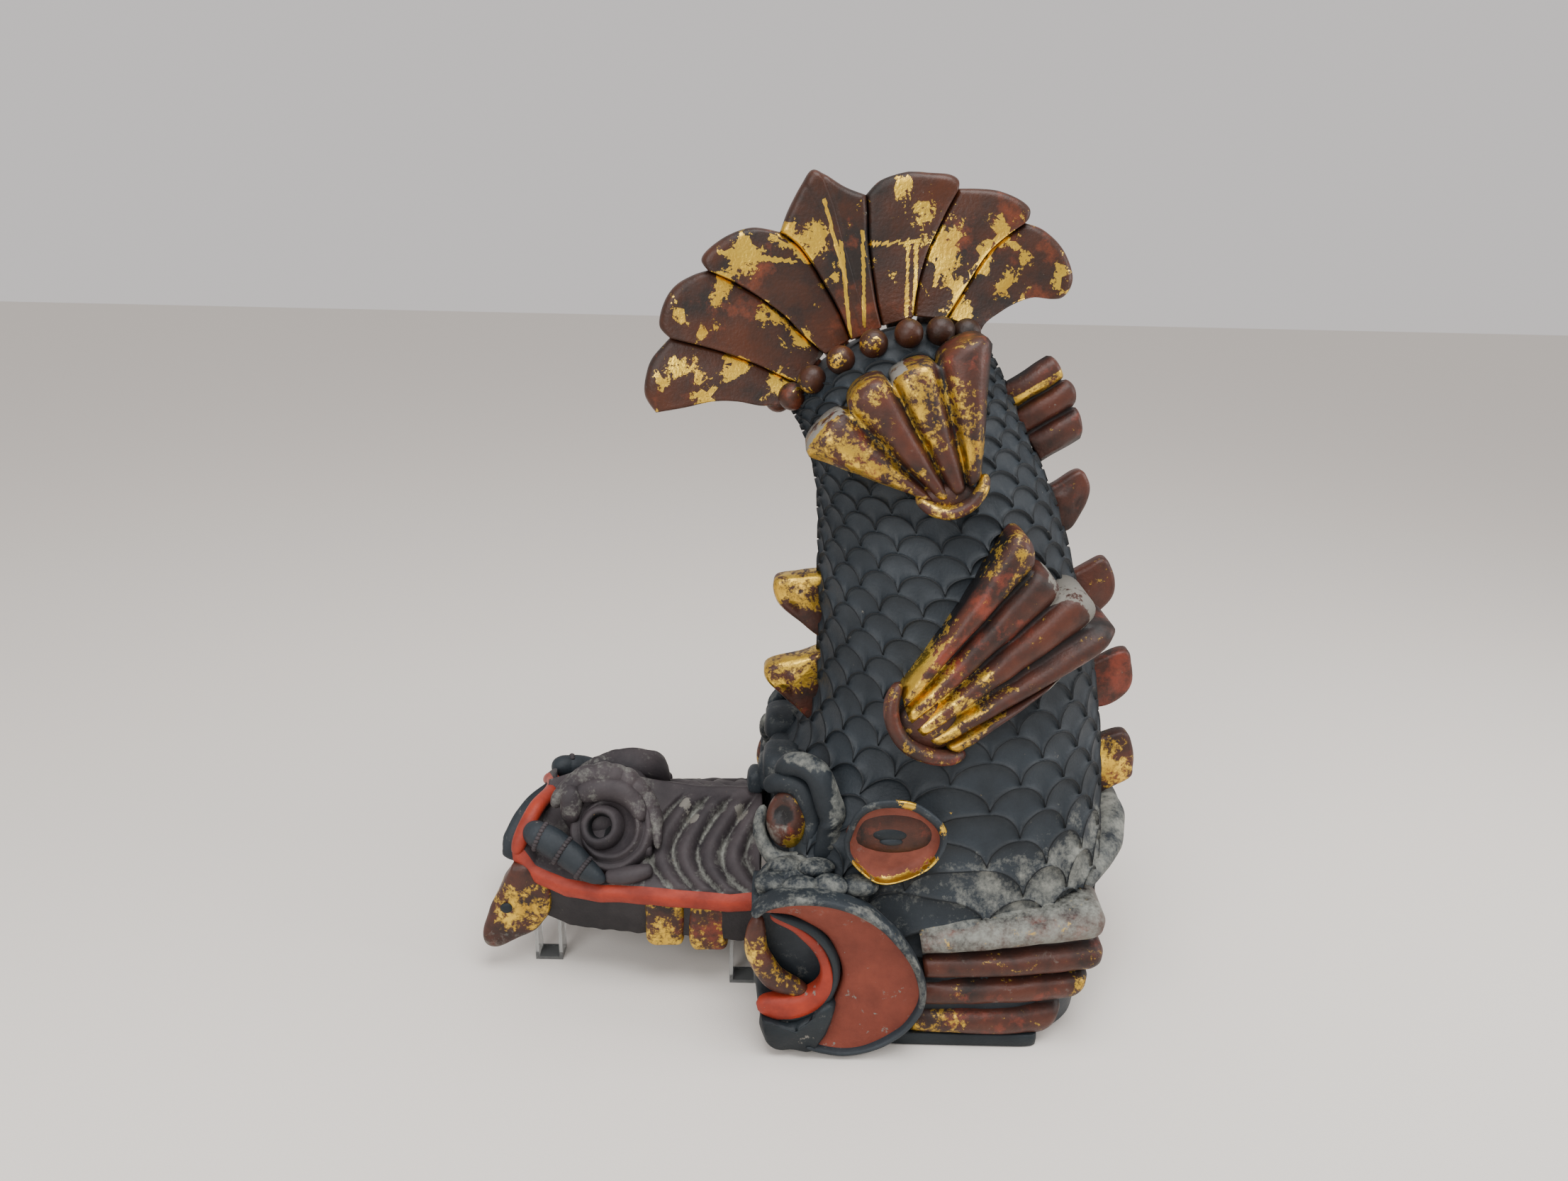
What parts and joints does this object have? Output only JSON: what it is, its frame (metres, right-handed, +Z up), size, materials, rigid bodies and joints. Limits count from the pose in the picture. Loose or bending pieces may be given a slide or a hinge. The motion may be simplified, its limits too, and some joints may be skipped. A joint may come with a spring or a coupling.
{
  "type": "shachihoko roof ornament",
  "caption": "Fired clay fish roof ornament, head down and tail raised, with scaled trunk, gill discs, fins and a tail fan, its loose snout resting on clear cradles.",
  "frame": {"origin": "on the ground under the middle of the whole part", "axes": "+Z up to the tail fan, snout towards -X, gill discs at both ends of Y"},
  "size_m": [0.5734, 0.347, 0.6661],
  "materials": {
    "smoked_clay": "matt",
    "snout_clay": "matt",
    "clear_acrylic": "clear gloss"
  },
  "bodies": {
    "root": {"tile_body": "smoked_clay", "upper_jaw": "snout_clay", "jaw_prop_front_near": "clear_acrylic", "jaw_prop_front_far": "clear_acrylic", "jaw_prop_rear_near": "clear_acrylic", "jaw_prop_rear_far": "clear_acrylic"}
  },
  "joints": []
}
